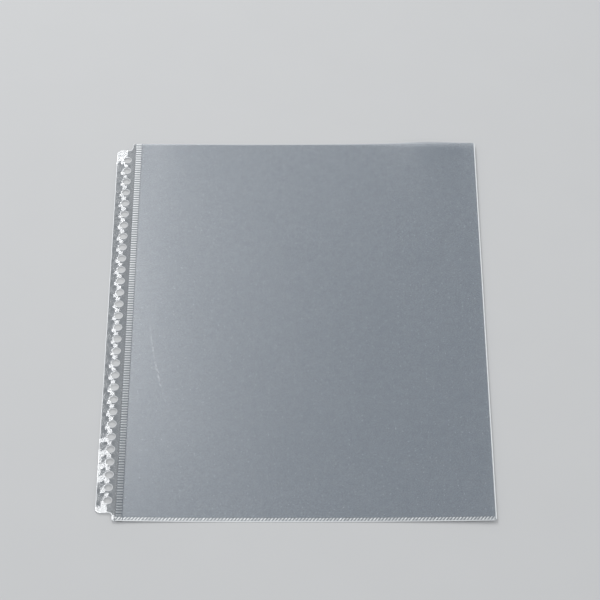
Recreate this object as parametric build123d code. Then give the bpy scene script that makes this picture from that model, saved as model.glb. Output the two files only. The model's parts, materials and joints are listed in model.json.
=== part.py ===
from build123d import *

import os
from math import cos, floor, radians, sin

# A4 sheet protector: a clear film pocket with a thirty-hole binding strip, lying flat and empty.
# Millimetres, +Z up. The binding strip is on the -X side and the open mouth on the +Y side.
# The origin is on the resting surface, under the middle of the outline.

# Whole pocket
overall_width = 235.0  # outer edge of the strip to the folded edge
overall_height = 305.0  # bottom weld to the mouth
film_thickness = 0.10  # one ply of the pocket
fold_corner_radius = 2.0  # rounded ends of the folded edge
crease_lip = 0.6  # flat part of each ply that is pressed with the fold

# Binding strip
strip_thickness = 0.25
tab_reach = 10.0  # outer edge of the strip to its neck
tab_end_inset = 6.0  # how far the tab's ends stand back from the pocket's
tab_corner_radius = 3.0
neck_inner_radius = 2.5
neck_outer_radius = 1.4
hole_diameter = 5.0
hole_pitch = 9.5
hole_from_edge = 7.0  # outer edge of the strip to the hole centres
hole_end_margin = 8.0  # least distance from a hole centre to the tab's end

# Welds
side_weld_from_edge = 12.1  # outer edge of the strip to the side weld
side_weld_width = 4.0
bottom_weld_height = 3.0
bottom_weld_land = 0.5  # plain rim below the bars of the bottom weld
weld_dip_run = 0.6  # length over which the bottom weld drops off the strip
bar_pitch = 2.0
bar_foot = 1.1
bar_crest = 0.8
bar_height = 0.08
bar_end_gap = 0.2  # plain edge beyond each end of a bar
bottom_bar_lean = 35.0  # degrees by which the bottom weld's bars lean towards the fold

# Clearances of the parts that flex
flex_gap_tab = 0.15  # flex line to the tab
flex_gap_root = 0.25  # flex line to the welded edge
hem_gap = 0.10  # front ply's hinge line to the bottom weld, and to the ply
ply_side_gap = 0.15  # front ply to the side weld and to the fold
cut_overrun = 1.0  # how far a cutting tool passes the faces that it cuts

# Places worked out from the sizes
left_x = -overall_width / 2
right_x = overall_width / 2
top_y = overall_height / 2
bottom_y = -overall_height / 2
back_top = film_thickness
strip_top = back_top + strip_thickness
stack_top = strip_top + film_thickness

neck_x = left_x + tab_reach
side_weld_x = left_x + side_weld_from_edge
strip_end_x = side_weld_x + side_weld_width
flex_x = side_weld_x - flex_gap_root
tab_root_x = flex_x - flex_gap_tab
tab_top_y = top_y - tab_end_inset
fold_radius = stack_top / 2
fold_x = right_x - fold_radius
lip_x = fold_x - crease_lip

hem_y = bottom_y + bottom_weld_height
mouth_hinge_y = hem_y + hem_gap
ply_bottom_y = mouth_hinge_y + hem_gap

along_x = Axis.X.direction
along_y = Axis.Y.direction


def block(low, high):
    """A box between two opposite corners."""
    size = [b - a for a, b in zip(low, high)]
    return Pos(*low) * Box(*size, align=Align.MIN)


def pocket_blank():
    """The pocket's plan as one tall prism: square at the strip, rounded where the fold ends."""
    plan = Pos(side_weld_x, bottom_y) * Rectangle(
        right_x - side_weld_x, overall_height, align=Align.MIN
    )
    plan = fillet(plan.vertices().group_by(Axis.X)[-1], fold_corner_radius)
    return extrude(plan, stack_top + bar_height)


def back_ply():
    """The ply that lies on the table, from the side weld to the fold."""
    return block((side_weld_x, bottom_y, 0), (lip_x, top_y, back_top)) & pocket_blank()


def front_ply():
    """The ply that lifts at the mouth, free of the weld and the fold by the side gaps."""
    low = (strip_end_x + ply_side_gap, ply_bottom_y, strip_top)
    high = (lip_x - ply_side_gap, top_y, stack_top)
    return block(low, high) & pocket_blank()


def fold_edge():
    """The crease that turns the back ply into the front one: a C section with two short lips."""
    inner_radius = fold_radius - film_thickness
    outline = (
        Line((lip_x, 0), (fold_x, 0))
        + ThreePointArc((fold_x, 0), (right_x, fold_radius), (fold_x, stack_top))
        + Line((fold_x, stack_top), (lip_x, stack_top))
        + Line((lip_x, stack_top), (lip_x, strip_top))
        + Line((lip_x, strip_top), (fold_x, strip_top))
        + ThreePointArc(
            (fold_x, strip_top), (fold_x + inner_radius, fold_radius), (fold_x, back_top)
        )
        + Line((fold_x, back_top), (lip_x, back_top))
        + Line((lip_x, back_top), (lip_x, 0))
    )
    section = make_face(Plane.XZ * outline)
    return extrude(section, overall_height / 2, both=True) & pocket_blank()


def neck_corners(plan):
    """The plan's corners along the neck line, those nearest the strip's middle first."""
    return plan.vertices().group_by(Axis.X)[1].sort_by(lambda v: abs(v.Y))


def tab_outline():
    """Plan of the tab: round outer corners, and an S-shaped neck out to the pocket's full height."""
    corners = [
        (left_x, -tab_top_y),
        (neck_x, -tab_top_y),
        (neck_x, bottom_y),
        (tab_root_x, bottom_y),
        (tab_root_x, top_y),
        (neck_x, top_y),
        (neck_x, tab_top_y),
        (left_x, tab_top_y),
    ]
    plan = make_face(Polyline(*corners, close=True))
    tip_radius = min(neck_outer_radius, tab_end_inset / 2, tab_root_x - neck_x)
    plan = fillet(neck_corners(plan)[2:], tip_radius)
    plan = fillet(neck_corners(plan)[:2], min(neck_inner_radius, tab_end_inset / 2))
    return fillet(plan.vertices().group_by(Axis.X)[0], tab_corner_radius)


def hole_places():
    """Y of every hole centre: as many at the pitch as the tab holds, about its middle."""
    room = 2 * (tab_top_y - hole_end_margin)
    gaps = floor(room / hole_pitch)
    return [(i - gaps / 2) * hole_pitch for i in range(gaps + 1)]


def binding_tab():
    """The punched tab, up to the line where it flexes."""
    tab = Pos(0, 0, back_top) * extrude(tab_outline(), strip_thickness)
    punch_length = strip_thickness + 2 * cut_overrun
    punch_x = left_x + hole_from_edge
    punch_z = back_top + strip_thickness / 2
    punch = Cylinder(hole_diameter / 2, punch_length)
    return tab - [Pos(punch_x, y, punch_z) * punch for y in hole_places()]


def strip_root():
    """The strip's inner edge, which the side weld holds between the two plies."""
    return block((side_weld_x, bottom_y, back_top), (strip_end_x, top_y, strip_top))


def comb(start, end, base, band):
    """Section of a run of weld bars, as points along the weld and up, on a band of this thickness.

    The bars keep their pitch about the middle of the run.
    """
    gaps = floor((end - start - bar_foot - 2 * bar_end_gap) / bar_pitch)
    first = (start + end) / 2 - gaps * bar_pitch / 2
    floor_z = base + band
    crest_z = floor_z + bar_height
    points = [(start, base), (start, floor_z)]
    for i in range(gaps + 1):
        middle = first + i * bar_pitch
        points += [
            (middle - bar_foot / 2, floor_z),
            (middle - bar_crest / 2, crest_z),
            (middle + bar_crest / 2, crest_z),
            (middle + bar_foot / 2, floor_z),
        ]
    return points + [(end, floor_z), (end, base)]


def side_weld():
    """The front ply's edge, pressed onto the strip in a long row of bars."""
    band = block((side_weld_x, hem_y, strip_top), (strip_end_x, top_y, stack_top))
    section = make_face(
        Plane.YZ * Polyline(*comb(hem_y, top_y, strip_top, film_thickness), close=True)
    )
    bars = extrude(section, side_weld_width - 2 * bar_end_gap, dir=along_x)
    return band + Pos(side_weld_x + bar_end_gap, 0, 0) * bars


def leaning_bars(start, end, base):
    """Bars of the bottom weld from one X place to another, cut off square at both ends of the run."""
    height = bottom_weld_height - bottom_weld_land - bar_end_gap
    lean = radians(bottom_bar_lean)
    length = height / cos(lean)
    run = comb(start - length * sin(lean), end, base, film_thickness)
    section = make_face(Plane.XZ * Polyline(*run, close=True))
    bars = extrude(section, length, dir=(sin(lean), cos(lean), 0))
    crest_z = base + film_thickness + bar_height
    room = block((start + bar_end_gap, 0, base), (end - bar_end_gap, height, crest_z))
    return Pos(0, bottom_y + bottom_weld_land, 0) * (bars & room)


def bottom_weld():
    """The front ply's lower edge, pressed onto the strip's foot and then down onto the back ply."""
    dip_end_x = strip_end_x + weld_dip_run
    ply_top = back_top + film_thickness
    hem = Polyline(
        (side_weld_x, strip_top),
        (side_weld_x, stack_top),
        (strip_end_x, stack_top),
        (dip_end_x, ply_top),
        (lip_x, ply_top),
        (lip_x, back_top),
        (strip_end_x, back_top),
        (strip_end_x, strip_top),
        close=True,
    )
    weld = Pos(0, bottom_y, 0) * extrude(
        make_face(Plane.XZ * hem), bottom_weld_height, dir=along_y
    )
    weld += leaning_bars(side_weld_x, strip_end_x, strip_top)
    weld += leaning_bars(dip_end_x, lip_x, back_top)
    return weld & pocket_blank()


nodes = {
    "back_ply": back_ply(),
    "front_ply": front_ply(),
    "fold_edge": fold_edge(),
    "binding_tab": binding_tab(),
    "strip_root": strip_root(),
    "side_weld": side_weld(),
    "bottom_weld": bottom_weld(),
}

os.makedirs("parts", exist_ok=True)
for name, solid in nodes.items():
    export_step(solid, f"parts/{name}.step")
print(f"holes {len(hole_places())}, hole span {hole_places()[-1] - hole_places()[0]:.1f} mm")
print(f"flex line x {flex_x:.2f} z {back_top + strip_thickness / 2:.3f}")
print(f"mouth hinge y {mouth_hinge_y:.2f} z {strip_top + film_thickness / 2:.3f}")
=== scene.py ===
import json
import math

import bpy
import numpy as np
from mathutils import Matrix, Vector
from mathutils.geometry import delaunay_2d_cdt


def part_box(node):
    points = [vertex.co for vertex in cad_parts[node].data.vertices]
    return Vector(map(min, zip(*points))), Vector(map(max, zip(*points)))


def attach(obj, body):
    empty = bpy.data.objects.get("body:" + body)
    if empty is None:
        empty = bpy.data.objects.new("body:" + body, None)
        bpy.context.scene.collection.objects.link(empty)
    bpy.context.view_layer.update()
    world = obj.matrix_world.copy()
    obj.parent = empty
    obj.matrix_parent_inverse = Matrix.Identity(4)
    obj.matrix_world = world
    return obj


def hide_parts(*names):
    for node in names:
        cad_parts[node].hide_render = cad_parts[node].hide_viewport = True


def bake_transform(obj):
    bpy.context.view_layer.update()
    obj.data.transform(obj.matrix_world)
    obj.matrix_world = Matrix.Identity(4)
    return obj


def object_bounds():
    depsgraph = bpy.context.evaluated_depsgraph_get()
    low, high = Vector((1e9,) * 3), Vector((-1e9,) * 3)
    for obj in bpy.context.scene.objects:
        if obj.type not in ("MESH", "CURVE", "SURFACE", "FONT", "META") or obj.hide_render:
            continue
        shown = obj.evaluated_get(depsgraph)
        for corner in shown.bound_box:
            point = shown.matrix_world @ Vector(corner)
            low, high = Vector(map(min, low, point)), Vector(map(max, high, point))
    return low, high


# A clear A4 sheet protector on a pale floor, in metres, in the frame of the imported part.
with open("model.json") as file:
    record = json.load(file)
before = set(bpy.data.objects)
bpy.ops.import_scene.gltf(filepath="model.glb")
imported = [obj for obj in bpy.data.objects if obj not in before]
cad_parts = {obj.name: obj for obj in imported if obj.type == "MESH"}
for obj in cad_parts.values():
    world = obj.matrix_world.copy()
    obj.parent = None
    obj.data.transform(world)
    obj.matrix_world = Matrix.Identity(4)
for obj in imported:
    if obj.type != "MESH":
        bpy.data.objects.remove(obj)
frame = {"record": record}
cad_low, cad_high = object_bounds()
scene = bpy.context.scene
MM = 0.001

# Camera, solved from the photograph
IMAGE_SIDE_PX = 600
FOCAL_PX = 2618.7
SENSOR_WIDTH = 36.0
CAMERA_TARGET = Vector((2.5, 18.0, 0.0)) * MM
CAMERA_ELEVATION = math.radians(49.47)
CAMERA_DISTANCE = 1.6392

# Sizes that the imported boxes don't tell
FILM_THICKNESS = 0.10 * MM
STRIP_THICKNESS = 0.25 * MM
NECK_FROM_EDGE = 10.0 * MM  # outer edge of the strip to its neck
TAB_END_INSET = 6.0 * MM
TAB_CORNER_RADIUS = 3.0 * MM
NECK_INNER_RADIUS = 2.5 * MM
NECK_OUTER_RADIUS = 1.4 * MM
FOLD_CORNER_RADIUS = 2.0 * MM
BAR_PITCH = 2.0 * MM
BAR_CREST = 0.8 * MM
BAR_FOOT = 1.1 * MM
BAR_HEIGHT = 0.08 * MM
BAR_END_GAP = 0.2 * MM
BAR_ROUNDING = 0.1 * MM  # how far a bar's flank runs out past its foot
BAR_TIP = (0.1 * MM, 0.4 * MM)  # start and top of the slope at a bar's end, from the weld's edge
BOTTOM_BAR_LEAN = math.radians(35)  # the bottom weld's bars lean towards the fold
BOTTOM_LAND = 0.5 * MM  # plain rim below the bars of the bottom weld
BOTTOM_DIP_RUN = 0.6 * MM  # length over which the bottom weld drops off the strip

# Lie of the empty pocket, judged in the photograph
LOW_LINE_X = -29 * MM  # where it touches the table along its length
CURL_LEFT = 0.9 * MM  # lift of the side weld
CURL_RIGHT = 1.75 * MM  # lift of the fold
LEFT_MIDDLE_SHARE = 0.35  # what halfway along is left of the side weld's lift
RIGHT_MIDDLE_SHARE = 0.75  # what halfway along is left of the fold's lift
LEFT_MOUTH_GAIN = -0.15  # change of the side weld's lift towards the mouth
RIGHT_MOUTH_GAIN = 0.08  # change of the fold's lift towards the mouth
MOUTH_WAVE = (0.4 * MM, 80 * MM, 15 * MM)  # height, place in X and spread of both plies' wave
MOUTH_WAVE_FADE = 30 * MM
BACK_WAVE = 0.12 * MM  # height of the back ply's shallow waves
BACK_MARGINS = (30 * MM, 20 * MM, 30 * MM)  # where they rise: at the strip, the fold and the foot
BELLY = 0.30 * MM  # how far the front ply stands off the back one
BELLY_RUN = 70 * MM  # length over which it rises from the bottom weld
BELLY_AT_MOUTH_LOSS = 0.8
RIPPLE = 0.08 * MM
LIPS = ((1.1 * MM, 86 * MM, 13 * MM), (0.2 * MM, -75 * MM, 16 * MM))  # as the mouth's wave
LIP_FADE = 24 * MM
LIP_SIDE_SHARE = 0.08  # of the mouth's width, over which the lips start at its held sides

# Wear of the tab, judged in the photograph
DROOP_SLOPE = 0.015  # of the whole tab, outside the side weld
HOLE_BURR = 0.012 * MM
HOLE_BURR_SPREAD = 0.35 * MM
HOLE_WARPS_MM = (  # place from a hole's centre, and the holes, from the foot up, that lack it
    ((-2.5, -2.4), (2, 3, 4, 5)),
    ((-0.9, -5.0), (0,)),
)
HOLE_WARP_SIZE_MM = (1.3, 1.05)
HOLE_WARP_SLOPE = 0.062
BENT_EDGES_MM = (  # hole from the foot up, and start and end of the bend below its centre
    (5, 0.7, 3.9),
    (4, 0.6, 5.0),
    (3, 0.7, 4.9),
    (2, 0.2, 5.2),
)
BENT_EDGE_REACH_MM = 4.7
BENT_EDGE_EXTRA_MM = 1.1  # further reach beside the gap below a hole
BENT_EDGE_LINK_MM = 1.9  # reach in between the bends
BENT_EDGE_SLOPE = 0.043
BENT_EDGE_ROUNDING = 0.5 * MM

# Widths of the white lines, partly whitening of the cut, folded and heated plastic and partly painted
# highlight: where each is full, and where it ends
FILM_CUT_LINE = (0.22 * MM, 0.55 * MM)
CREASE_LINE = 0.65 * MM
WELD_CUT_LINE = (0, 0.4 * MM)
BOTTOM_RIM_LINE = (0.45 * MM, 0.6 * MM)
TAB_CUT_LINE = (0.3 * MM, 0.65 * MM)
HOLE_RIM_LINE = (0.15 * MM, 0.4 * MM)

# Fineness of the meshes
SHARP_ANGLE = math.radians(40)  # faces that meet at more than this are shaded apart
FILM_ROW_STEP = 2.5 * MM
BACK_COLUMNS = 101
FRONT_HALF_COLUMNS = 52
EDGE_ROWS = np.array([0.15, 0.4, 0.9]) * MM  # close rows of a sheet, from its edge
EDGE_ROWS_END = 1.6 * MM  # where its even rows start
BEAD_ROW_STEP = 1.3 * MM
BEAD_ARC_POINTS = 17
BAR_STATIONS = np.array([-0.65, -0.58, -0.5, -0.42, -0.3, 0, 0.3, 0.42, 0.5, 0.58, 0.65]) * MM
SIDE_STATIONS = np.array([0, 0.12, 0.2, 0.3, 0.45, 1.2, 2, 2.8, 3.55, 3.7, 3.8, 3.88, 4]) * MM
BOTTOM_STATIONS = MM * np.array(
    [0, 0.1, 0.3, 0.45, 0.55, 0.7, 1.1, 1.5, 1.9, 2.3, 2.6, 2.75, 2.85, 2.93, 3.0]
)
BOTTOM_COLUMN_STEP = 0.16 * MM
STRIP_OUTLINE_STEP = 0.8 * MM
STRIP_INSETS = np.array([0.15, 0.35, 0.6]) * MM  # rows of points inside the strip's outline
STRIP_GRID_FROM_EDGE = 0.8 * MM
STRIP_GRID_PER_PITCH = 24
HOLE_SEGMENTS = 48
HOLE_RINGS = np.array([2.58, 2.66, 2.78, 2.9, 3.15]) * MM  # radii of the points round a hole
HOLE_RINGS_END = 3.4 * MM  # where the strip's grid starts
SAME_POINT_MM = 1e-6  # points closer than this are one

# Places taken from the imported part
back_low, back_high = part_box("back_ply")
front_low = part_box("front_ply")[0]
fold_low, fold_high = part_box("fold_edge")
root_low, root_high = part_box("strip_root")
side_low, side_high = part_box("side_weld")
hem_low, hem_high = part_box("bottom_weld")
bores = [m for m in frame["record"]["mounts"] if m["kind"] == "bore"]
hole_x = bores[0]["pos_m"][0]
hole_ys = sorted(m["pos_m"][1] for m in bores)
hole_radius = bores[0]["dims"]["r_mm"] * MM
hole_pitch = (hole_ys[-1] - hole_ys[0]) / (len(hole_ys) - 1)
left_x, right_x = cad_low.x, cad_high.x
bottom_y, top_y = cad_low.y, cad_high.y
neck_x = left_x + NECK_FROM_EDGE
tab_top_y = top_y - TAB_END_INSET
strip_bottom = root_low.z
strip_top = root_high.z


def make_camera():
    """The photograph's view: straight along +Y, looking down."""
    data = bpy.data.cameras.new("camera")
    data.sensor_width = SENSOR_WIDTH
    data.lens = FOCAL_PX / IMAGE_SIDE_PX * SENSOR_WIDTH
    camera = bpy.data.objects.new("camera", data)
    back = Vector((0, -math.cos(CAMERA_ELEVATION), math.sin(CAMERA_ELEVATION)))
    camera.location = CAMERA_TARGET + CAMERA_DISTANCE * back
    camera.rotation_euler = (-back).to_track_quat("-Z", "Y").to_euler()
    scene.collection.objects.link(camera)
    scene.camera = camera


# Mesh helpers


def smooth_step(value, start, end):
    """0 before start, 1 after end, smooth between."""
    t = np.clip((value - start) / (end - start), 0, 1)
    return t * t * (3 - 2 * t)


def ramp_integral(t):
    """The integral of a smooth step from 0 to 1, at t."""
    inner = np.clip(t, 0, 1)
    return inner**3 - inner**4 / 2 + np.clip(t - 1, 0, None)


def hill(value, middle, spread):
    """A bell curve of height 1."""
    return np.exp(-0.5 * ((value - middle) / spread) ** 2)


def mesh_object(name, points, faces, material, masks=None):
    """A smooth-shaded mesh with one number per point for each named mask."""
    mesh = bpy.data.meshes.new(name)
    mesh.from_pydata(points.tolist(), [], faces)
    mesh.validate()
    for mask, values in (masks or {}).items():
        attribute = mesh.attributes.new(mask, "FLOAT", "POINT")
        attribute.data.foreach_set("value", np.asarray(values, np.float32))
    mesh.shade_smooth()
    mesh.set_sharp_from_angle(angle=SHARP_ANGLE)
    mesh.materials.append(material)
    piece = bpy.data.objects.new(name, mesh)
    scene.collection.objects.link(piece)
    return piece


def grid_faces(columns, rows):
    """Quads of a grid whose point (column, row) has number column * rows + row."""
    faces = []
    for c in range(columns - 1):
        for r in range(rows - 1):
            a = c * rows + r
            faces.append((a, a + rows, a + rows + 1, a + 1))
    return faces


def rim_faces(loop, offset):
    """Side wall between the points of a loop and the same points on the lower layer."""
    return [(a, a + offset, b + offset, b) for a, b in zip(loop, loop[1:] + loop[:1])]


def corner_reach(x):
    """How far from the middle the film goes in Y at this x, round the corners at the fold."""
    past = np.clip(x - (right_x - FOLD_CORNER_RADIUS), 0, FOLD_CORNER_RADIUS)
    return top_y - FOLD_CORNER_RADIUS + np.sqrt(FOLD_CORNER_RADIUS**2 - past**2)


# Heights of the resting film, in plan


def curl(x, y):
    """How far the resting pocket curls up off the table, towards both sides and most at its corners."""
    left = np.clip((LOW_LINE_X - x) / (LOW_LINE_X - side_low.x), 0, 1)
    right = np.clip((x - LOW_LINE_X) / (right_x - LOW_LINE_X), 0, 1)
    share = y / top_y
    right_power = 2.5 - 0.5 * share
    left_lift = CURL_LEFT * (1 + LEFT_MOUTH_GAIN * share) * left**2
    left_lift = left_lift * (LEFT_MIDDLE_SHARE + (1 - LEFT_MIDDLE_SHARE) * share**2)
    right_lift = CURL_RIGHT * (1 + RIGHT_MOUTH_GAIN * share) * right**right_power
    right_lift = right_lift * (RIGHT_MIDDLE_SHARE + (1 - RIGHT_MIDDLE_SHARE) * share**2)
    height, wave_x, spread = MOUTH_WAVE
    wave = height * hill(x, wave_x, spread) * np.exp(-(top_y - y) / MOUTH_WAVE_FADE)
    return left_lift + right_lift + wave


def back_height(x, y):
    """Middle surface of the back ply, which lies on the table in a few very shallow waves."""
    at_strip, at_fold, at_foot = BACK_MARGINS
    inward = smooth_step(x - back_low.x, 0, at_strip) * smooth_step(back_high.x - x, 0, at_fold)
    inward = inward * smooth_step(y - bottom_y, 0, at_foot)
    wave = 0.5 + 0.5 * np.sin(x / (17 * MM) + np.sin(y / (45 * MM)))
    return FILM_THICKNESS / 2 + BACK_WAVE * inward * wave + curl(x, y)


def front_height(x, y):
    """Middle surface of the front ply: bellied, rippled, and lifted a little at the mouth."""
    across = np.clip((x - side_high.x) / (fold_low.x - side_high.x), 0, 1)
    held = np.sin(math.pi * across) ** 0.8
    mouth = np.exp(-(top_y - y) / LIP_FADE)
    bulge = held * smooth_step(y - hem_high.y, 0, BELLY_RUN) * (1 - BELLY_AT_MOUTH_LOSS * mouth)
    lip = sum(height * hill(x, lip_x, spread) for height, lip_x, spread in LIPS) * mouth
    lip = lip * smooth_step(across, 0, LIP_SIDE_SHARE) * smooth_step(1 - across, 0, LIP_SIDE_SHARE)
    ripple = np.sin(x / (21 * MM) + 0.8 * np.sin(y / (60 * MM)) + 0.6)
    ripple = 1 + ripple * np.cos(y / (38 * MM) + x / (70 * MM))
    lift = (BELLY + RIPPLE * ripple) * bulge
    return front_low.z + FILM_THICKNESS / 2 + lift + lip + curl(x, y)


# Film and fold


def film_edge_mask(x, y, sides):
    """1 at the cut edges that are named, falling to 0 over the width of the bright line."""
    distance = np.full(x.shape, np.inf)
    if "mouth" in sides:
        distance = np.minimum(distance, corner_reach(x) - y)
    if "foot" in sides:
        distance = np.minimum(distance, corner_reach(x) + y)
    return 1 - smooth_step(distance, *FILM_CUT_LINE)


def sheet_rows(low, high, step):
    """Evenly spread rows with a few close ones at both ends, as shares from 0 to 1."""
    length = high - low
    close = EDGE_ROWS / length
    margin = EDGE_ROWS_END / length
    even = np.linspace(0, 1, round(length / step) + 1)
    even = even[(even > margin) & (even < 1 - margin)]
    return np.concatenate([[0], close, even, 1 - close[::-1], [1]])


def film_sheet(name, xs, low_y, height, material, sides):
    """A ply as one surface, from low_y up to the mouth."""
    shares = sheet_rows(low_y, top_y, FILM_ROW_STEP)
    x = np.repeat(xs, len(shares))
    reach = corner_reach(x)
    low = np.maximum(low_y, -reach)
    y = low + np.tile(shares, len(xs)) * (reach - low)
    points = np.column_stack([x, y, height(x, y)])
    masks = {"edge": film_edge_mask(x, y, sides)}
    return mesh_object(name, points, grid_faces(len(xs), len(shares)), material, masks)


def make_back_film(material):
    """The ply on the table, from the side weld to the fold."""
    xs = np.linspace(back_low.x, back_high.x, BACK_COLUMNS)
    film = film_sheet("back_film", xs, bottom_y, back_height, material, ["mouth", "foot"])
    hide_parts("back_ply")
    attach(film, "pocket")


def make_front_film(material):
    """The ply over it, in two halves that bulge from their held sides to the middle."""
    middle_x = (side_high.x + fold_low.x) / 2
    halves = [
        ("front_film_left", side_high.x, side_high.x, middle_x),
        ("front_film_right", fold_low.x, middle_x, fold_low.x),
    ]
    for name, held_x, start, end in halves:
        xs = np.linspace(start, end, FRONT_HALF_COLUMNS)
        film = film_sheet(name, xs, hem_high.y, front_height, material, ["mouth"])
        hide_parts("front_ply")
        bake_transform(film)


def make_fold_bead(material):
    """The crease: film bent round in a C, with the pocket's rounded corners at its ends."""
    outer = (fold_high.z - fold_low.z) / 2
    centre_x, centre_z = right_x - outer, fold_low.z + outer
    white_x = right_x - CREASE_LINE
    angles = np.linspace(-math.pi / 2, math.pi / 2, BEAD_ARC_POINTS)

    def path(radius):
        arc = [(centre_x + radius * math.cos(a), centre_z + radius * math.sin(a)) for a in angles]
        below = [(x, centre_z - radius) for x in (fold_low.x, white_x)]
        above = [(x, centre_z + radius) for x in (white_x, fold_low.x)]
        return np.array([*below, *arc, *above])

    section = np.concatenate([path(outer), path(outer - FILM_THICKNESS)[::-1]])
    count = len(section)
    shares = 2 * sheet_rows(bottom_y, top_y, BEAD_ROW_STEP) - 1
    x = np.tile(section[:, 0], len(shares))
    z = np.tile(section[:, 1], len(shares))
    y = np.repeat(shares, count) * corner_reach(x)
    faces = []
    for r in range(len(shares) - 1):
        for c in range(count):
            a, b = r * count + c, r * count + (c + 1) % count
            faces.append((b, a, a + count, b + count))
    # Caps: the first end faces the foot, the other one the mouth
    for first, turned in ((0, False), ((len(shares) - 1) * count, True)):
        for c in range(count // 2 - 1):
            a, b = first + c, first + c + 1
            d, e = first + count - 1 - c, first + count - 2 - c
            faces.append((a, d, e, b) if turned else (a, b, e, d))
    points = np.column_stack([x, y, z + curl(x, y)])
    # White along the crease's outer line and its cut ends: partly whitening of the film, partly painted
    # highlight
    white = film_edge_mask(x, y, ["mouth", "foot"])
    white = np.maximum(smooth_step(x, fold_low.x, white_x), white)
    bead = mesh_object("fold_bead", points, faces, material, {"edge": white})
    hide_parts("fold_edge")
    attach(bead, "pocket")


# Welds


def bar_middles(start, end):
    """Where the pressed bars are between two ends: at their pitch, about the run's middle."""
    gaps = math.floor((end - start - BAR_FOOT - 2 * BAR_END_GAP) / BAR_PITCH)
    first = (start + end) / 2 - gaps * BAR_PITCH / 2
    return first + BAR_PITCH * np.arange(gaps + 1)


def bar_profile(along, start, end):
    """0 in the grooves and 1 on the crests of the bars between two ends."""
    middles = bar_middles(start, end)
    number = np.clip(np.round((along - middles[0]) / BAR_PITCH), 0, len(middles) - 1)
    away = np.abs(along - middles[0] - number * BAR_PITCH)
    return 1 - smooth_step(away, BAR_CREST / 2, BAR_FOOT / 2 + BAR_ROUNDING)


def bar_ends(across, low, high):
    """1 along the length of the bars, falling to 0 at both edges of their row."""
    return smooth_step(across - low, *BAR_TIP) * smooth_step(high - across, *BAR_TIP)


def bar_stations(start, end):
    """Stations along a weld, dense enough for the flanks of every bar."""
    stations = (bar_middles(start, end)[:, None] + BAR_STATIONS).ravel()
    stations = stations[(stations > start) & (stations < end)]
    return np.concatenate([[start], stations, [end]])


def weld_solid(name, us, vs, place, base, top, masks, material):
    """A closed relief: us run along the weld and vs across it, and place turns them into x and y."""
    u = np.repeat(us, len(vs))
    v = np.tile(vs, len(us))
    x, y = place(u, v)
    upper = np.column_stack([x, y, top(u, v)])
    lower = np.column_stack([x, y, base(u, v)])
    count = len(upper)
    columns, rows = len(us), len(vs)
    faces = grid_faces(columns, rows)
    faces += [tuple(i + count for i in reversed(f)) for f in grid_faces(columns, rows)]
    loop = [c * rows for c in range(columns)]
    loop += [(columns - 1) * rows + r for r in range(1, rows)]
    loop += [c * rows + rows - 1 for c in reversed(range(columns - 1))]
    loop += [r for r in reversed(range(1, rows - 1))]
    faces += rim_faces(loop, count)
    values = {key: np.concatenate([mask(u, v)] * 2) for key, mask in masks.items()}
    return mesh_object(name, np.concatenate([upper, lower]), faces, material, values)


def make_side_weld(material):
    """The front film's edge pressed onto the strip, with its ladder of bars."""
    start, end = side_low.y, side_high.y

    def base(u, v):
        return strip_top + curl(v, u)

    def bars(u, v):
        return bar_profile(u, start, end) * bar_ends(v, side_low.x, side_high.x)

    weld = weld_solid(
        "side_weld_bars",
        bar_stations(start, end),
        side_low.x + SIDE_STATIONS,
        place=lambda u, v: (v, u),
        base=base,
        top=lambda u, v: base(u, v) + FILM_THICKNESS + BAR_HEIGHT * bars(u, v),
        masks={"crest": bars, "edge": lambda u, v: 1 - smooth_step(top_y - u, *WELD_CUT_LINE)},
        material=material,
    )
    # This weld runs along Y, so its faces come out turned inwards
    weld.data.flip_normals()
    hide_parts("side_weld")
    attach(weld, "pocket")


def make_bottom_weld(material):
    """The lower hem: leaning bars above a plain rim, over the strip's foot and then on the back ply."""
    dip_start, dip_end = side_high.x, side_high.x + BOTTOM_DIP_RUN
    land_top = bottom_y + BOTTOM_LAND
    lean = math.tan(BOTTOM_BAR_LEAN)
    lean_reach = (hem_high.y - land_top - BAR_END_GAP) * lean

    def under(u, v):
        drop = (back_high.z - strip_top) * smooth_step(u, dip_start, dip_end)
        return strip_top + drop + curl(u, v)

    def bars(u, v):
        foot = u - np.clip(v - land_top, 0, None) * lean
        run = np.where(
            u < dip_start,
            bar_profile(foot, hem_low.x - lean_reach, dip_start),
            bar_profile(foot, dip_end - lean_reach, hem_high.x) * (u > dip_end),
        )
        return run * bar_ends(v, land_top - BAR_END_GAP, hem_high.y)

    def place(u, v):
        squeeze = (land_top + corner_reach(u)) / BOTTOM_LAND
        return u, land_top + np.where(v < land_top, squeeze, 1) * (v - land_top)

    count = round((hem_high.x - hem_low.x) / BOTTOM_COLUMN_STEP)
    weld = weld_solid(
        "bottom_weld_bars",
        np.linspace(hem_low.x, hem_high.x, count + 1),
        bottom_y + BOTTOM_STATIONS,
        place=place,
        base=under,
        top=lambda u, v: under(u, v) + FILM_THICKNESS + BAR_HEIGHT * bars(u, v),
        masks={"crest": bars, "edge": lambda u, v: 1 - smooth_step(v - bottom_y, *BOTTOM_RIM_LINE)},
        material=material,
    )
    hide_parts("bottom_weld")
    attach(weld, "pocket")


# Loops of points in plan


def arc_points(centre, radius, start, end, count):
    """Points round part of a circle, angles in degrees."""
    angles = np.radians(np.linspace(start, end, count))
    return [(centre[0] + radius * math.cos(a), centre[1] + radius * math.sin(a)) for a in angles]


def resample(loop, step):
    """The closed loop with its long sides divided, and without those of no length."""
    points = []
    for a, b in zip(loop, np.roll(loop, -1, axis=0)):
        length = np.linalg.norm(b - a)
        if length < SAME_POINT_MM * MM:
            continue
        count = max(1, round(length / step))
        points += [a + (b - a) * i / count for i in range(count)]
    return np.array(points)


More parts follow.
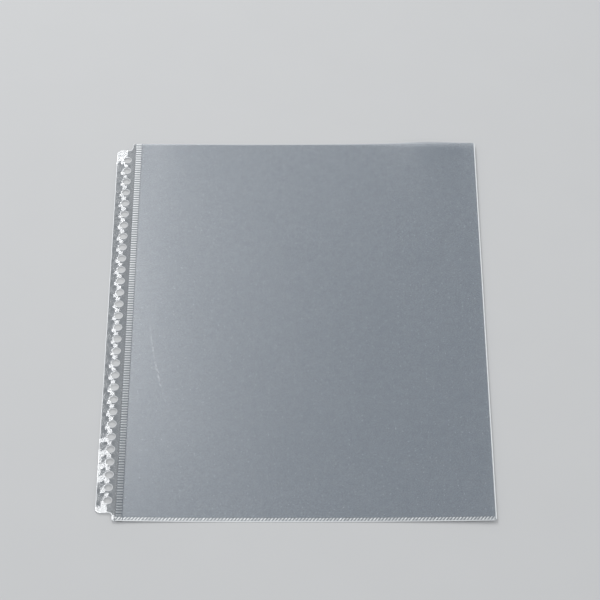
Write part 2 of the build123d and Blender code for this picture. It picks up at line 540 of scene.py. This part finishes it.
def inset(loop, distance):
    """The closed clockwise loop moved inwards."""
    ahead = np.roll(loop, -1, axis=0) - loop
    behind = loop - np.roll(loop, 1, axis=0)
    tangent = ahead / np.linalg.norm(ahead, axis=1)[:, None]
    tangent = tangent + behind / np.linalg.norm(behind, axis=1)[:, None]
    tangent = tangent / np.linalg.norm(tangent, axis=1)[:, None]
    return loop + distance * np.column_stack([tangent[:, 1], -tangent[:, 0]])


def inside_loop(points, loop):
    """Which points lie inside the closed loop."""
    x, y = points[:, 0], points[:, 1]
    inside = np.zeros(len(points), bool)
    for (x0, y0), (x1, y1) in zip(loop, np.roll(loop, -1, axis=0)):
        if y0 == y1:
            continue
        crosses = (y0 > y) != (y1 > y)
        inside ^= crosses & (x < x0 + (y - y0) * (x1 - x0) / (y1 - y0))
    return inside


def loop_distance(points, loop):
    """Least distance from each point to the closed loop."""
    best = np.full(len(points), np.inf)
    for a, b in zip(loop, np.roll(loop, -1, axis=0)):
        along = b - a
        t = np.clip((points - a) @ along / (along @ along), 0, 1)
        gap = points - a - t[:, None] * along
        best = np.minimum(best, np.hypot(gap[:, 0], gap[:, 1]))
    return best


def hole_distance(points):
    """Distance from each point to the nearest hole's centre."""
    number = np.clip(np.round((points[:, 1] - hole_ys[0]) / hole_pitch), 0, len(hole_ys) - 1)
    dy = points[:, 1] - hole_ys[0] - number * hole_pitch
    return np.hypot(points[:, 0] - hole_x, dy)


# Strip


def strip_outline():
    """The strip's plan, clockwise: round the tab's corner, over the S-shaped neck, and mirrored."""
    tip = (left_x + TAB_CORNER_RADIUS, tab_top_y - TAB_CORNER_RADIUS)
    neck_inner = (neck_x - NECK_INNER_RADIUS, tab_top_y + NECK_INNER_RADIUS)
    neck_outer = (neck_x + NECK_OUTER_RADIUS, top_y - NECK_OUTER_RADIUS)
    upper = arc_points(tip, TAB_CORNER_RADIUS, 180, 90, 13)
    upper += arc_points(neck_inner, NECK_INNER_RADIUS, 270, 360, 11)
    upper += arc_points(neck_outer, NECK_OUTER_RADIUS, 180, 90, 9)
    upper += [(root_high.x, top_y)]
    return np.array(upper + [(x, -y) for x, y in reversed(upper)])


def tilted_patch(x, y, centre, half_width, half_height, slope):
    """A small even ramp that rises towards +X inside a round patch and fades out around it."""
    u = (x - centre[0]) / half_width
    v = (y - centre[1]) / half_height
    return slope * half_width * u * np.exp(-np.abs(u / 1.6) ** 3 - 0.5 * v**6)


def between(value, low, high):
    """1 between two ends, 0 outside them, with a short slope at each."""
    half = 0.35 * MM
    rise = smooth_step(value, low - half, low + half)
    return rise * smooth_step(-value, -high - half, -high + half)


def bent_edge(x, y):
    """The tab's outer edge bent down beside four of the lower holes, less far in between them."""
    reach = BENT_EDGE_LINK_MM * between(y, hole_ys[2] - 5.2 * MM, hole_ys[4] - 4.5 * MM)
    for number, start, end in BENT_EDGES_MM:
        patch = between(y, hole_ys[number] - end * MM, hole_ys[number] - start * MM)
        gap = between(y, hole_ys[number] - 3.6 * MM, hole_ys[number] - 1.6 * MM)
        reach = np.maximum(reach, BENT_EDGE_REACH_MM * patch + BENT_EDGE_EXTRA_MM * gap)
    inner = (left_x + reach * MM - x) / BENT_EDGE_ROUNDING
    return -BENT_EDGE_SLOPE * BENT_EDGE_ROUNDING * ramp_integral(inner) * (reach > 0)


def bent_corner(x, away, slant, start, run, slope):
    """An end of the tab bent down outside the holes, more and more from start towards its tip."""
    outward = np.clip(hole_x - 0.4 * MM - x, 0, None)
    near, far = (away - start) / run, (away + slant * outward - start) / run
    return -slope * run * (ramp_integral(far) - ramp_integral(near)) / slant


def strip_relief(points):
    """Height of the strip's underside: warped around its holes, and bent down at its corners."""
    x, y = points[:, 0], points[:, 1]
    outside = x < side_low.x
    rng = np.random.default_rng(7)
    burr = HOLE_BURR * hill(hole_distance(points), hole_radius, HOLE_BURR_SPREAD)
    half_width, half_height = HOLE_WARP_SIZE_MM
    warp = np.zeros(len(x))
    for number, hole_y in enumerate(hole_ys):
        for (shift_x, shift_y), flat_holes in HOLE_WARPS_MM:
            centre = (
                hole_x + (shift_x + rng.uniform(-0.2, 0.2)) * MM,
                hole_y + (shift_y + rng.uniform(-0.25, 0.25)) * MM,
            )
            size = rng.uniform(0.92, 1.15) * MM
            if number not in flat_holes:
                warp += tilted_patch(
                    x, y, centre, half_width * size, half_height * size, HOLE_WARP_SLOPE
                )
    below_hole = (hole_x - 3.7 * MM, hole_ys[1] - 2.6 * MM)
    warp += tilted_patch(x, y, below_hole, 1.3 * MM, 1.5 * MM, slope=0.05)
    warp += bent_edge(x, y)
    in_neck = (neck_x + 0.8 * MM, bottom_y + 2.6 * MM)
    warp += tilted_patch(x, y, in_neck, 1.2 * MM, 1.2 * MM, slope=0.08)
    droop = DROOP_SLOPE * (side_low.x - x) * outside
    corners = bent_corner(x, y, slant=0.95, start=137.2 * MM, run=8 * MM, slope=0.065)
    corners += bent_corner(x, -y, slant=-0.28, start=138.2 * MM, run=6 * MM, slope=0.05)
    lift = curl(np.maximum(x, side_low.x), y)
    return strip_bottom + lift + burr + warp * outside - droop + corners


def strip_plan(outline):
    """Points and triangles of the punched strip in plan, finer round its holes and at its edges."""
    turns = np.linspace(0, 2 * math.pi, HOLE_SEGMENTS + 1)[:-1]
    circle = np.column_stack([np.cos(turns), np.sin(turns)])
    centres = [np.array([hole_x, y]) for y in hole_ys]
    rims = [c + hole_radius * circle for c in centres]
    rings = [c + radius * circle for c in centres for radius in HOLE_RINGS]
    insets = [inset(outline, distance) for distance in STRIP_INSETS]
    grid_step = hole_pitch / STRIP_GRID_PER_PITCH
    gx = np.arange(left_x + grid_step, root_high.x, grid_step)
    gy = np.arange(bottom_y + grid_step, top_y, grid_step)
    grid = np.column_stack([np.repeat(gx, len(gy)), np.tile(gy, len(gx))])
    clear = (hole_distance(grid) > HOLE_RINGS_END) & inside_loop(grid, outline)
    clear &= loop_distance(grid, outline) > STRIP_GRID_FROM_EDGE

    loops = [outline, *rims]
    starts = np.cumsum([0] + [len(loop) for loop in loops])
    edges = [
        (int(s) + i, int(s) + (i + 1) % len(loop))
        for s, loop in zip(starts, loops)
        for i in range(len(loop))
    ]
    plan_mm = np.concatenate([*loops, *insets, *rings, grid[clear]]) / MM
    found = delaunay_2d_cdt([Vector(p) for p in plan_mm], edges, [], 0, SAME_POINT_MM)
    plan = np.array([tuple(v) for v in found[0]]) * MM
    triangles = np.array(found[2])
    centroids = plan[triangles].mean(axis=1)
    inner_radius = hole_radius * math.cos(math.pi / HOLE_SEGMENTS)
    kept = inside_loop(centroids, outline) & (hole_distance(centroids) > inner_radius)
    return plan, triangles[kept]


def make_strip(material):
    """The punched strip as one solid, bending where it leaves the weld."""
    outline = resample(strip_outline(), STRIP_OUTLINE_STEP)
    plan, triangles = strip_plan(outline)
    relief = strip_relief(plan)
    count = len(plan)
    upper = np.column_stack([plan, relief + STRIP_THICKNESS])
    lower = np.column_stack([plan, relief])
    faces = triangles.tolist() + (triangles[:, ::-1] + count).tolist()
    # A dictionary keeps the sides in order, and a side without its opposite lies on a border
    sides = dict.fromkeys(
        side for a, b, c in triangles.tolist() for side in ((a, b), (b, c), (c, a))
    )
    faces += [(b, a, a + count, b + count) for a, b in sides if (b, a) not in sides]

    # White lines at the tab's cut edges and round the holes: partly whitening of the cut plastic, partly
    # painted highlight
    cut = 1 - smooth_step(loop_distance(plan, outline), *TAB_CUT_LINE)
    cut = cut * (plan[:, 0] < side_low.x)
    rim = 1 - smooth_step(hole_distance(plan) - hole_radius, *HOLE_RIM_LINE)
    masks = {"edge": np.tile(np.maximum(cut, rim), 2)}
    strip = mesh_object("punched_strip", np.concatenate([upper, lower]), faces, material, masks)
    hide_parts("binding_tab", "strip_root")
    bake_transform(strip)


# Materials

WHITENING_AND_HIGHLIGHT_WHITE = (0.88, 0.90, 0.91, 1)  # cut, folded and heated plastic, and the painted highlights along edges and hole rims
FILM_GREY = (0.14, 0.185, 0.245, 1)  # the haze of the plain film
STRIP_GREY = (0.20, 0.225, 0.25, 1)
GROOVE_GREY = (0.36, 0.39, 0.42, 1)  # between a weld's bars
# Painted shade: the weld colours where the light on them is drawn as falling off
PAINTED_SHADE_GROOVE = (0.13, 0.16, 0.19, 1)
PAINTED_SHADE_CREST = (0.33, 0.35, 0.37, 1)
FILM_TINT = (0.93, 0.945, 0.955, 1)  # light that comes through one ply
STRIP_TINT = (0.835, 0.845, 0.855, 1)

# Shares of the film that are not see-through
FILM_HAZE = 0.315
BLOTCH_HAZE = 0.036
GRAIN_HAZE = 0.068
MARK_HAZE = 0.3
# At the cut edges, the crease and the hole rims, the extra haze and white are partly whitening of the
# plastic and partly painted highlight
CUT_HAZE = 0.28
CUT_WHITENING_AND_HIGHLIGHT = 0.55
STRIP_CUT_HAZE = 0.8
CREASE_HAZE = 0.17

# Marks on the film
DUST_SPACING = 4.0 * MM
DUST_REACH_SHARE = 0.042  # of the spacing, radius of the largest specks
SCRATCH_CENTRE = (226 * MM, 26 * MM)
SCRATCH_RADIUS = 317.85 * MM
SCRATCH_HALF_WIDTH = 0.95 * MM
SCRATCH_LOWER_FADE = (-80 * MM, -45 * MM)
SCRATCH_UPPER_FADE = (-25 * MM, 25 * MM)
SCRATCH_STRENGTH = 0.4  # beside a speck of dust


class Graph:
    """A material's node tree, built by short calls."""

    def __init__(self, name):
        self.material = bpy.data.materials.new(name)
        self.material.use_nodes = True
        self.tree = self.material.node_tree
        self.tree.nodes.clear()

    def node(self, kind, settings=None, **sockets):
        """A node with its settings, and values or links for the sockets named here."""
        made = self.tree.nodes.new(kind)
        for key, value in (settings or {}).items():
            setattr(made, key, value)
        for key, value in sockets.items():
            self.feed(made.inputs[key.replace("_", " ")], value)
        return made

    def feed(self, socket, value):
        """Links an output to the socket, or sets its value."""
        if isinstance(value, bpy.types.NodeSocket):
            self.tree.links.new(value, socket)
        else:
            socket.default_value = value

    def feed_all(self, sockets, values):
        """Feeds each socket its own value."""
        for socket, value in zip(sockets, values):
            self.feed(socket, value)

    def math(self, operation, *values, clamp=False):
        """The result of a math node."""
        made = self.node("ShaderNodeMath", {"operation": operation, "use_clamp": clamp})
        self.feed_all(made.inputs, values)
        return made.outputs[0]

    def add(self, base, value, weight, clamp=False):
        """base + value * weight."""
        return self.math("MULTIPLY_ADD", value, weight, base, clamp=clamp)

    def remap(self, value, low, high, out_low, out_high):
        """Linear map from one range to another, clamped."""
        made = self.node(
            "ShaderNodeMapRange",
            Value=value,
            From_Min=low,
            From_Max=high,
            To_Min=out_low,
            To_Max=out_high,
        )
        return made.outputs[0]

    def place(self):
        """Object coordinates, in metres."""
        return self.node("ShaderNodeTexCoord").outputs["Object"]

    def axes(self, vector):
        """The X, Y and Z of a vector."""
        return self.node("ShaderNodeSeparateXYZ", Vector=vector).outputs

    def noise(self, size, detail=2.0, roughness=0.5):
        """Noise from 0 to 1 whose features are about this long."""
        made = self.node(
            "ShaderNodeTexNoise",
            Vector=self.place(),
            Scale=1 / size,
            Detail=detail,
            Roughness=roughness,
        )
        return made.outputs[0]

    def mask(self, name):
        """The mesh's mask of this name."""
        return self.node("ShaderNodeAttribute", {"attribute_name": name}).outputs["Fac"]

    def tint(self, share, first, second):
        """A colour between two."""
        made = self.node("ShaderNodeMix", {"data_type": "RGBA"})
        factor_and_colors = [made.inputs[i] for i in (0, 6, 7)]
        self.feed_all(factor_and_colors, (share, first, second))
        return made.outputs[2]

    def bump(self, height, strength, distance):
        """A normal that this height tilts."""
        made = self.node("ShaderNodeBump", Height=height, Strength=strength, Distance=distance)
        return made.outputs[0]

    def mix(self, share, first, second):
        """A shader between two."""
        made = self.node("ShaderNodeMixShader")
        self.feed_all(made.inputs, (share, first, second))
        return made.outputs[0]

    def gloss_share(self, at_normal):
        """Share of light that the surface mirrors: little face on, more at a low angle."""
        facing = self.node("ShaderNodeLayerWeight", Blend=0.5).outputs["Facing"]
        grazing = self.math("POWER", facing, 5.0)
        return self.remap(grazing, 0.0, 1.0, at_normal, 1.0)

    def finish(self, shader):
        """The material, with this shader on its surface."""
        out = self.node("ShaderNodeOutputMaterial")
        self.tree.links.new(shader, out.inputs["Surface"])
        return self.material


def clear_surface(g, haze, body, tint, bump, body_roughness, gloss, gloss_roughness):
    """A see-through surface: some haze of its own colour, and a gloss that haze doesn't weaken."""
    through = g.node("ShaderNodeBsdfTransparent", Color=tint).outputs[0]
    milk = g.node(
        "ShaderNodeBsdfPrincipled",
        Base_Color=body,
        Roughness=body_roughness,
        Specular_IOR_Level=0.1,
        Normal=bump,
    ).outputs[0]
    coat = g.node("ShaderNodeBsdfGlossy", Roughness=gloss_roughness, Normal=bump).outputs[0]
    return g.mix(g.gloss_share(gloss), g.mix(haze, through, milk), coat)


def film_material():
    """Matte film: a grey-blue haze with fine grain, stray specks, one long faint scratch, and white cut
    edges that are partly painted highlight.
    """
    g = Graph("matte_film")
    mottle = g.noise(35 * MM, detail=3.0)
    grain = g.noise(0.8 * MM, detail=3.0, roughness=0.7)
    blotch = g.noise(4.5 * MM, detail=4.0, roughness=0.8)
    marks = g.math("ADD", dust(g), g.math("MULTIPLY", scratch(g), SCRATCH_STRENGTH))
    haze = g.math("MULTIPLY", g.remap(mottle, 0.3, 0.7, 0.98, 1.02), FILM_HAZE)
    haze = g.add(haze, g.remap(blotch, 0.2, 0.8, -1.0, 1.0), BLOTCH_HAZE)
    haze = g.add(haze, g.remap(grain, 0.3, 0.7, -1.0, 1.0), GRAIN_HAZE)
    haze = g.add(haze, marks, MARK_HAZE)
    # Cut edges: more haze and white, partly whitening of the cut and partly painted highlight
    haze = g.add(haze, g.mask("edge"), CUT_HAZE, clamp=True)
    whitening_and_highlight = g.add(marks, g.mask("edge"), CUT_WHITENING_AND_HIGHLIGHT, clamp=True)
    body = g.tint(whitening_and_highlight, FILM_GREY, WHITENING_AND_HIGHLIGHT_WHITE)
    bump = g.bump(grain, strength=0.15, distance=0.02 * MM)
    surface = clear_surface(
        g, haze, body, FILM_TINT, bump, body_roughness=0.6, gloss=0.085, gloss_roughness=0.28
    )
    return g.finish(surface)


def dust(g):
    """1 on fine specks of dust, 0 off them."""
    cells = g.node(
        "ShaderNodeTexVoronoi",
        {"voronoi_dimensions": "2D"},
        Vector=g.place(),
        Scale=1 / DUST_SPACING,
    ).outputs
    reach = g.remap(g.axes(cells["Color"])["X"], 0.3, 1.0, 0.0, DUST_REACH_SHARE)
    return g.math("LESS_THAN", cells["Distance"], reach)


def scratch(g):
    """Up to 1 along a shallow, broken arc beside the side weld, 0 off it."""
    axes = g.axes(g.place())
    dx = g.math("SUBTRACT", axes["X"], SCRATCH_CENTRE[0])
    dy = g.math("SUBTRACT", axes["Y"], SCRATCH_CENTRE[1])
    away = g.math("SQRT", g.math("ADD", g.math("MULTIPLY", dx, dx), g.math("MULTIPLY", dy, dy)))
    off = g.math("ABSOLUTE", g.math("SUBTRACT", away, SCRATCH_RADIUS))
    line = g.remap(off, SCRATCH_HALF_WIDTH / 3, SCRATCH_HALF_WIDTH, 1.0, 0.0)
    below = g.remap(axes["Y"], *SCRATCH_LOWER_FADE, 0.0, 1.0)
    above = g.remap(axes["Y"], *SCRATCH_UPPER_FADE, 1.0, 0.0)
    broken = g.remap(g.noise(2.5 * MM), 0.35, 0.65, 0.15, 1.0)
    arc = g.math("MULTIPLY", line, g.math("MULTIPLY", below, above))
    return g.math("MULTIPLY", arc, broken)


def strip_material():
    """Glossy clear strip, lightly smeared, with white cut edges and hole rims that are partly whitening
    of the cut plastic and partly painted highlight.
    """
    g = Graph("clear_strip")
    smear = g.noise(6 * MM, detail=3.0)
    haze = g.add(g.remap(smear, 0.3, 0.7, 0.10, 0.14), g.mask("edge"), STRIP_CUT_HAZE, clamp=True)
    body = g.tint(g.mask("edge"), STRIP_GREY, WHITENING_AND_HIGHLIGHT_WHITE)
    bump = g.bump(g.noise(0.9 * MM), strength=0.1, distance=0.02 * MM)
    surface = clear_surface(
        g, haze, body, STRIP_TINT, bump, body_roughness=0.4, gloss=0.05, gloss_roughness=0.1
    )
    return g.finish(surface)


def weld_material(name, groove, crest, patchy, painted_shade_axis, painted_shade_ends):
    """Film made white by heat: milk-white crests and clearer grooves, with painted shade that greys both
    towards the first of the painted shade ends; the white line at the weld's edge is partly painted
    highlight.
    """
    g = Graph(name)
    uneven = g.noise(2.2 * MM)
    # Painted shade: 1 where the weld's colours are drawn lit, 0 at the first of the painted shade ends,
    # mixing lit colours with their painted-shade copies
    strength = g.remap(g.axes(g.place())[painted_shade_axis], *painted_shade_ends, 0.0, 1.0)
    bars = g.math("MULTIPLY", g.mask("crest"), g.remap(uneven, 0.35, 0.65, patchy, 1.0))
    whitening_and_highlight = g.math("MAXIMUM", bars, g.mask("edge"))
    haze = g.remap(whitening_and_highlight, 0.0, 1.0, groove, crest)
    lit_weld_colour = g.tint(whitening_and_highlight, GROOVE_GREY, WHITENING_AND_HIGHLIGHT_WHITE)
    shaded_weld_colour = g.tint(whitening_and_highlight, PAINTED_SHADE_GROOVE, PAINTED_SHADE_CREST)
    body = g.tint(strength, shaded_weld_colour, lit_weld_colour)
    bump = g.bump(uneven, strength=0.2, distance=0.03 * MM)
    surface = clear_surface(
        g, haze, body, FILM_TINT, bump, body_roughness=0.5, gloss=0.05, gloss_roughness=0.25
    )
    return g.finish(surface)


def crease_material():
    """The folded film edge, white along its outermost line: partly whitening of the fold and partly
    painted highlight.
    """
    g = Graph("crease")
    uneven = g.noise(3 * MM, detail=3.0)
    # The crease's outer line: partly whitening of the fold, partly painted highlight
    crease_whitening_and_highlight = g.math("MULTIPLY", g.mask("edge"), g.remap(uneven, 0.3, 0.7, 0.63, 0.77))
    haze = g.math("ADD", crease_whitening_and_highlight, CREASE_HAZE)
    body = g.tint(g.mask("edge"), FILM_GREY, WHITENING_AND_HIGHLIGHT_WHITE)
    bump = g.bump(uneven, strength=0.1, distance=0.03 * MM)
    surface = clear_surface(
        g, haze, body, FILM_TINT, bump, body_roughness=0.4, gloss=0.05, gloss_roughness=0.25
    )
    return g.finish(surface)


# Studio

FLOOR_COLOR = (0.60, 0.605, 0.61, 1)
FLOOR_DARK_SHARE = 0.99  # of its colour, in the floor's darker patches
FLOOR_DROP = 0.05 * MM
FLOOR_HALF = 4.0
WORLD_COLOR = (0.62, 0.63, 0.64, 1)


def make_floor():
    """A wide plain floor just under the pocket."""
    g = Graph("pale_floor")
    darker = (*(c * FLOOR_DARK_SHARE for c in FLOOR_COLOR[:3]), 1)
    color = g.tint(g.remap(g.noise(40 * MM), 0.3, 0.7, 0.0, 1.0), FLOOR_COLOR, darker)
    surface = g.node(
        "ShaderNodeBsdfPrincipled", Base_Color=color, Roughness=0.9, Specular_IOR_Level=0.1
    )
    corners = [(-1, -1), (1, -1), (1, 1), (-1, 1)]
    points = np.array([(FLOOR_HALF * x, FLOOR_HALF * y, -FLOOR_DROP) for x, y in corners])
    floor = mesh_object("floor", points, [(0, 1, 2, 3)], g.finish(surface.outputs[0]))


def area_light(name, place, aim, width, height, radiance):
    """A soft rectangular light at place, facing aim."""
    data = bpy.data.lights.new(name, "AREA")
    data.shape = "RECTANGLE"
    data.size, data.size_y = width, height
    data.energy = radiance * math.pi * width * height
    light = bpy.data.objects.new(name, data)
    light.location = place
    light.rotation_euler = (Vector(aim) - Vector(place)).to_track_quat("-Z", "Y").to_euler()
    scene.collection.objects.link(light)


def make_lights():
    """A tall softbox behind on the left, dim broad lights behind and in front, and an even surround."""
    area_light(
        "key", (-0.452, 1.13, 1.275), (-0.55, 0.0, 0.0), width=0.30, height=1.20, radiance=10.5
    )
    area_light("back", (-0.12, 2.15, 1.9), (0.0, 0.1, 0.0), width=0.9, height=0.45, radiance=1.3)
    area_light("fill", (0.3, -1.2, 1.9), (0.0, 0.0, 0.0), width=1.6, height=1.2, radiance=1.1)
    world = bpy.data.worlds.new("surround")
    scene.world = world
    world.use_nodes = True
    background = world.node_tree.nodes["Background"]
    background.inputs["Color"].default_value = WORLD_COLOR
    background.inputs["Strength"].default_value = 1.0


# The bottom weld's painted shade grows so slowly towards the fold that it would be full only out here
bottom_painted_shade_x = 6 * right_x

# Painted shade darkens the side weld towards its foot and the bottom weld towards the fold
side_weld_film = weld_material(
    "side_weld_film",
    groove=0.58,
    crest=0.92,
    patchy=0.85,
    painted_shade_axis="Y",
    painted_shade_ends=(bottom_y, top_y),
)
bottom_weld_film = weld_material(
    "bottom_weld_film",
    groove=0.45,
    crest=0.98,
    patchy=0.55,
    painted_shade_axis="X",
    painted_shade_ends=(bottom_painted_shade_x, left_x),
)
matte_film = film_material()

make_camera()
make_back_film(matte_film)
make_front_film(matte_film)
make_fold_bead(crease_material())
make_side_weld(side_weld_film)
make_bottom_weld(bottom_weld_film)
make_strip(strip_material())
make_floor()
make_lights()
scene.view_settings.view_transform = "Standard"
